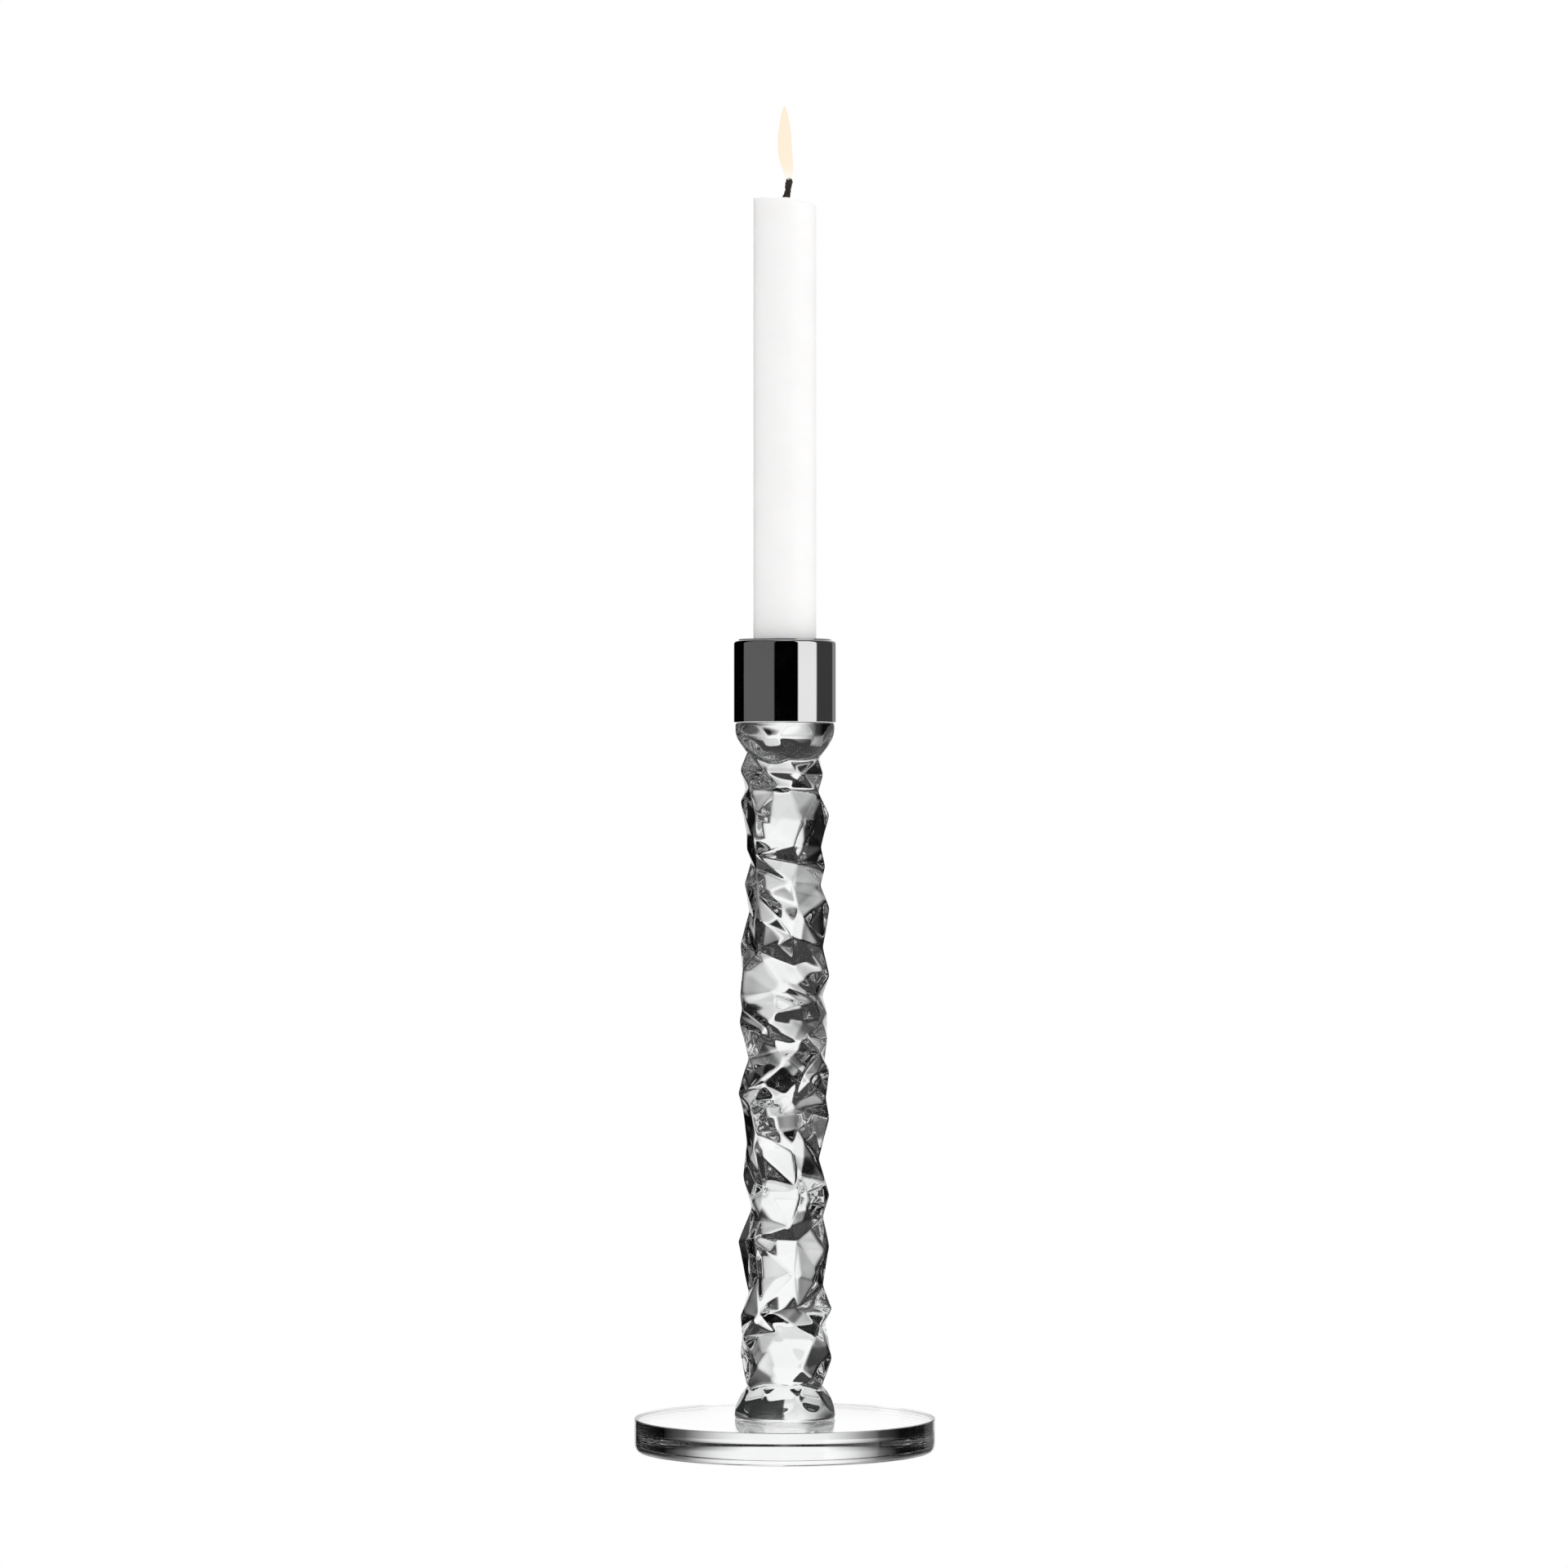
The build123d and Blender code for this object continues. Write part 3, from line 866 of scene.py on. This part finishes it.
# Light round the object by angle in degrees: 0 is in front, 90 to the right and 180 behind.
REFLECTED_CARDS = (
    (-180, 1.0), (-162, 0.0), (-105, 0.13), (-24, 0.0), (30, 1.0), (76, 0.05), (135, 0.27), (162, 1.0),
)
SEEN_THROUGH = (
    (-180, 1.0), (-170, 0.92), (-163, 0.57), (-158, 0.26), (-152, 0.06), (-141, 0.0), (-104, 0.0),
    (-97, 0.8), (-83, 0.8), (-76, 0.0), (-24, 0.02), (28, 0.0), (34, 0.9), (60, 0.9), (68, 0.03),
    (110, 0.02), (138, 0.0), (149, 0.1), (155, 0.36), (161, 0.69), (168, 0.95), (180, 1.0),
)
TABLE_SEEN_THROUGH = (
    (-180, 0.8), (-160, 0.6), (-140, 0.22), (-110, 0.08), (110, 0.08), (140, 0.3), (160, 0.65), (180, 0.8),
)


class CANDLESTICK_OT_stage(bpy.types.Operator):
    """Sets the pale floor, the cards, the studio light and the camera"""
    bl_idname = "candlestick.stage"
    bl_label = "Stage"

    def execute(self, context):
        settings = context.scene.candlestick_stage
        self.floor(settings)
        self.low_card(settings)
        self.table_patch(settings)
        self.studio(context.scene)
        self.camera(context.scene, settings)
        return {"FINISHED"}

    def floor(self, settings):
        """An evenly lit pale table: it shows plain, and leaves the studio's own light on the object."""
        table = self.disc("pale_floor", settings.floor_radius, height=-0.05 * MM)
        material, tree, mix = self.lit_card("pale floor")
        rays = add(tree, "ShaderNodeLightPath")
        wire(tree, rays.outputs["Is Camera Ray"], mix.inputs["Fac"])
        table.data.materials.append(material)

    def low_card(self, settings):
        """A low lit card behind the foot plate, fading out to both sides."""
        gap = 2 * MM          # between the card and the table
        place = (0, settings.card_distance, settings.card_height / 2 + gap)
        deselect_all()
        bpy.ops.mesh.primitive_plane_add(size=1, location=place, rotation=(math.pi / 2, 0, 0))
        card = bpy.context.object
        card.name = card.data.name = "low_card"
        card.scale = (2 * settings.card_reach, settings.card_height, 1)
        bpy.ops.object.transform_apply(location=True, rotation=True, scale=True)
        material, tree, mix = self.lit_card("low card")
        split = add(tree, "ShaderNodeSeparateXYZ")
        wire(tree, object_coordinates(tree), split.inputs["Vector"])
        aside = value_node(tree, "ABSOLUTE", split.outputs["X"])
        share = value_node(tree, "DIVIDE", aside, settings.card_reach)
        fading = ((0.2, 1.0), (0.32, 0.69), (0.45, 0.39), (0.61, 0.135), (0.71, 0.06), (0.95, 0.0))
        wire(tree, ramp(tree, share, fading), mix.inputs["Fac"])
        self.seen_through_glass(card, material)

    def table_patch(self, settings):
        """The pale table right under the foot plate, as it shows through the glass."""
        patch = self.disc("table_patch", settings.patch_radius, height=-0.1 * MM)
        material, _, mix = self.lit_card("table patch")
        mix.inputs["Fac"].default_value = settings.patch_light
        self.seen_through_glass(patch, material)

    def disc(self, name, radius, height):
        """A flat round sheet."""
        deselect_all()
        bpy.ops.mesh.primitive_circle_add(vertices=96, radius=radius, fill_type="NGON",
                                          location=(0, 0, height))
        sheet = bpy.context.object
        sheet.name = sheet.data.name = name
        return sheet

    def lit_card(self, name):
        """A glow that the mix's factor fades out to clear."""
        material, tree, shader = new_material(name)
        tree.nodes.remove(shader)
        glow = add(tree, "ShaderNodeEmission")
        clear = add(tree, "ShaderNodeBsdfTransparent")
        mix = add(tree, "ShaderNodeMixShader")
        wire(tree, clear.outputs["BSDF"], mix.inputs[1])
        wire(tree, glow.outputs["Emission"], mix.inputs[2])
        wire(tree, mix.outputs["Shader"], tree.nodes["Material Output"].inputs["Surface"])
        return material, tree, mix

    def seen_through_glass(self, card, material):
        """Gives a card its light and hides it from all but the light that comes through the glass."""
        card.data.materials.append(material)
        card.visible_camera = card.visible_diffuse = card.visible_glossy = card.visible_shadow = False

    def studio(self, scene):
        """A white backdrop to the camera; to the object a soft light, and cards to reflect and bend."""
        world = bpy.data.worlds.new("studio")
        world.use_nodes = True
        scene.world = world
        tree = world.node_tree
        background = tree.nodes["Background"]
        where = add(tree, "ShaderNodeTexCoord").outputs["Generated"]
        split = add(tree, "ShaderNodeSeparateXYZ")
        wire(tree, where, split.inputs["Vector"])
        front = value_node(tree, "MULTIPLY", split.outputs["Y"], -1)
        angle = value_node(tree, "ARCTAN2", split.outputs["X"], front)
        turn = value_node(tree, "MULTIPLY_ADD", angle, 1 / (2 * math.pi), 0.5)
        rise = split.outputs["Z"]
        reflected = studio_bands(tree, turn, card_stops(REFLECTED_CARDS, soft=0.8))
        through = studio_bands(tree, turn, SEEN_THROUGH)
        table = studio_bands(tree, turn, TABLE_SEEN_THROUGH)
        reflected = self.fade(tree, rise, reflected, start=0.75, end=0.9, other=0.05)
        reflected = self.fade(tree, rise, reflected, start=-0.2, end=-0.5, other=0.85)
        for_glass = self.fade(tree, rise, through, start=0.11, end=0.25, other=0.004)
        for_glass = self.fade(tree, rise, for_glass, start=-0.12, end=-0.34, other=table)
        soft = ramp(tree, turn, ((0.0, 0.85), (0.25, 0.78), (0.62, 1.0), (0.8, 1.0), (1.0, 0.85)))
        soft = self.brighter(tree, soft, factor=1.12)
        rays = add(tree, "ShaderNodeLightPath")
        white = 1.0
        colour = self.blend(tree, rays.outputs["Is Glossy Ray"], soft, reflected)
        colour = self.blend(tree, rays.outputs["Is Transmission Ray"], colour, for_glass)
        colour = self.blend(tree, rays.outputs["Is Camera Ray"], colour, white)
        wire(tree, colour, background.inputs["Color"])
        scene.view_settings.view_transform = "Standard"
        scene.cycles.max_bounces = 24
        scene.cycles.transmission_bounces = 24
        scene.cycles.glossy_bounces = 12
        scene.cycles.transparent_max_bounces = 24

    def fade(self, tree, rise, colour, start, end, other):
        """Fades one light into another, a grey or a socket, between two heights."""
        share = add(tree, "ShaderNodeMapRange", interpolation_type="SMOOTHSTEP")
        share.inputs["From Min"].default_value = start
        share.inputs["From Max"].default_value = end
        wire(tree, rise, share.inputs["Value"])
        return self.blend(tree, share.outputs["Result"], colour, other)

    def blend(self, tree, share, colour, other):
        """Mixes a light with another, a grey or a socket, by a share from 0 to 1."""
        mix = add(tree, "ShaderNodeMix", data_type="RGBA")
        wire(tree, share, mix.inputs["Factor"])
        wire(tree, colour, mix.inputs["A"])
        if isinstance(other, (int, float)):
            mix.inputs["B"].default_value = (other, other, other, 1)
        else:
            wire(tree, other, mix.inputs["B"])
        return mix.outputs["Result"]

    def brighter(self, tree, colour, factor):
        """Scales a colour."""
        node = add(tree, "ShaderNodeVectorMath", operation="SCALE")
        node.inputs["Scale"].default_value = factor
        wire(tree, colour, node.inputs[0])
        return node.outputs["Vector"]

    def camera(self, scene, settings):
        """A long lens, all but level, that looks at the middle of the candlestick."""
        aside = -0.3 * MM
        data = bpy.data.cameras.new("camera")
        data.lens = settings.lens
        data.sensor_width = 36
        camera = bpy.data.objects.new("camera", data)
        scene.collection.objects.link(camera)
        camera.location = (aside, -settings.distance, settings.height)
        aim = Vector((camera.location.x, 0, settings.middle)) - camera.location
        camera.rotation_euler = aim.to_track_quat("-Z", "Y").to_euler()
        scene.camera = camera


OPERATORS = (
    CANDLESTICK_OT_stem,
    CANDLESTICK_OT_plate,
    CANDLESTICK_OT_bonds,
    CANDLESTICK_OT_cup,
    CANDLESTICK_OT_liner,
    CANDLESTICK_OT_wax,
    CANDLESTICK_OT_wick,
    CANDLESTICK_OT_flame,
    CANDLESTICK_OT_stage,
)


class CANDLESTICK_PT_pieces(bpy.types.Panel):
    """Lists the candlestick's pieces and its stage"""
    bl_idname = "CANDLESTICK_PT_pieces"
    bl_label = "Glass Candlestick"
    bl_space_type = "VIEW_3D"
    bl_region_type = "UI"
    bl_category = "Candlestick"

    def draw(self, context):
        for operator in OPERATORS:
            self.layout.operator(operator.bl_idname)
        for name, group in SETTINGS.items():
            box = self.layout.box()
            settings = getattr(context.scene, name)
            for field in group.__annotations__:
                box.prop(settings, field)


def register():
    """Adds the settings, the operators and the panel."""
    for name, group in SETTINGS.items():
        bpy.utils.register_class(group)
        setattr(bpy.types.Scene, name, PointerProperty(type=group))
    for item in (*OPERATORS, CANDLESTICK_PT_pieces):
        bpy.utils.register_class(item)


def unregister():
    """Takes them away again."""
    for item in (CANDLESTICK_PT_pieces, *reversed(OPERATORS)):
        bpy.utils.unregister_class(item)
    for name, group in reversed(list(SETTINGS.items())):
        delattr(bpy.types.Scene, name)
        bpy.utils.unregister_class(group)


def main():
    """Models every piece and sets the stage."""
    register()
    for operator in OPERATORS:
        family, name = operator.bl_idname.split(".")
        getattr(getattr(bpy.ops, family), name)()


if __name__ == "__main__":
    main()
